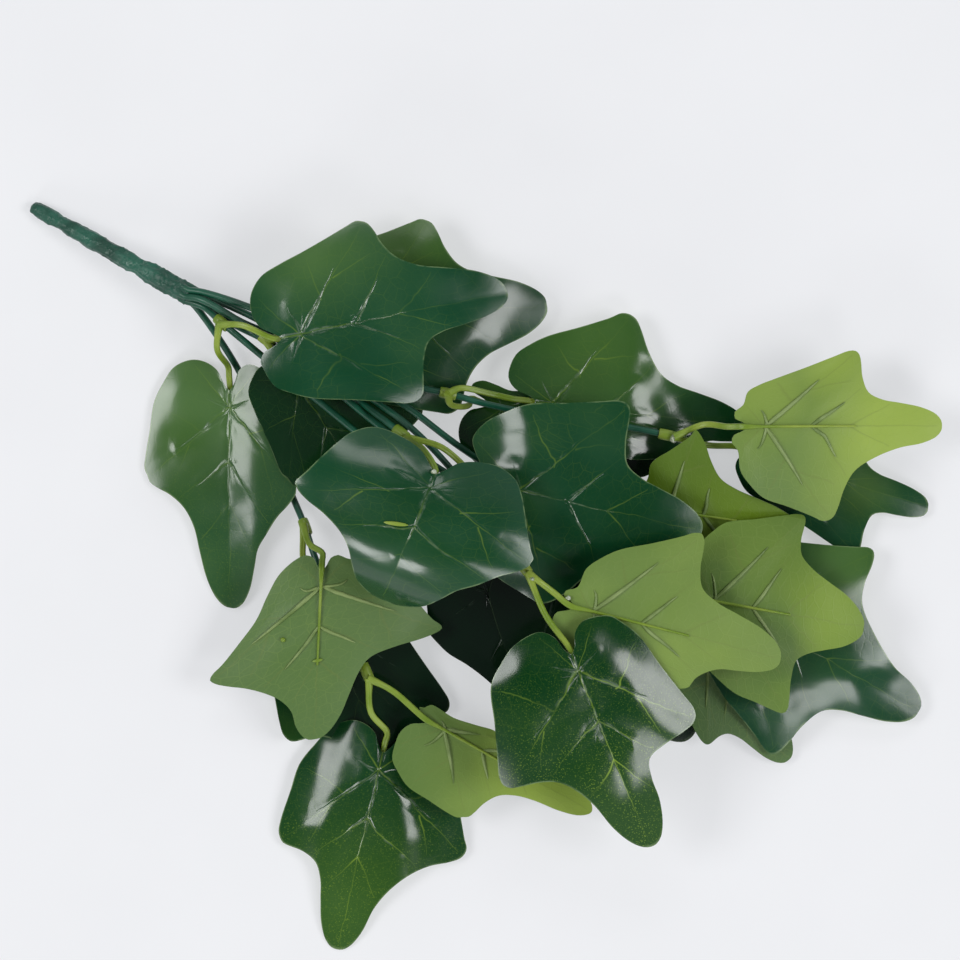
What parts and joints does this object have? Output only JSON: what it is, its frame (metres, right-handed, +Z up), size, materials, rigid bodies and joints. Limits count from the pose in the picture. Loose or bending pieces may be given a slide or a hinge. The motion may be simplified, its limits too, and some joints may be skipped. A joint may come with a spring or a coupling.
{
  "type": "artificial ivy spray",
  "caption": "Artificial ivy spray lying on a surface: wrapped green handle, fanned plastic stems, lime forked leaf clips and glossy lobed leaves with pale matt backs.",
  "frame": {"origin": "The middle of the spray's box in plan, on the surface it lies on.", "axes": "+X along the spray's longer side, from the handle's end of it to the leaf tips. +Y in plan, square to X, from the low leaf tips to the handle's side. +Z up, away from the surface that the spray lies on."},
  "size_m": [0.3363, 0.2765, 0.0589],
  "materials": {
    "wrap_teal": "wound stretch tape, dull, with fine wrinkles",
    "stem_teal": "moulded, satin",
    "clip_lime": "moulded, satin, slightly translucent look",
    "leaf_top": "glossy printed leaf face with pale veins and a thin pale cut edge",
    "leaf_back": "matt pale leaf back with low ribs"
  },
  "bodies": {
    "root": {"handle": "wrap_teal", "stem_1": "stem_teal", "stem_2": "stem_teal", "stem_3": "stem_teal", "stem_4": "stem_teal", "stem_5": "stem_teal", "stem_6": "stem_teal", "stem_7": "stem_teal", "clip_1": "clip_lime", "clip_2": "clip_lime", "clip_3": "clip_lime", "clip_4": "clip_lime", "clip_5": "clip_lime", "clip_6": "clip_lime", "clip_7": "clip_lime", "clip_8": "clip_lime", "clip_9": "clip_lime", "clip_10": "clip_lime", "clip_11": "clip_lime", "leaf_A": "leaf_top", "leaf_B": "leaf_top", "leaf_C": "leaf_top", "leaf_D": "leaf_top", "leaf_F": "leaf_top", "leaf_G": "leaf_top", "leaf_H": "leaf_top", "leaf_I": "leaf_back", "leaf_J": "leaf_back", "leaf_K": "leaf_back", "leaf_L": "leaf_back", "leaf_M": "leaf_top", "leaf_N": "leaf_top", "leaf_O": "leaf_back", "leaf_Q": "leaf_top", "leaf_R": "leaf_back", "leaf_S": "leaf_top", "leaf_T": "leaf_back", "leaf_U": "leaf_top", "leaf_V": "leaf_top", "leaf_W": "leaf_top", "leaf_Y": "leaf_top"}
  },
  "joints": []
}
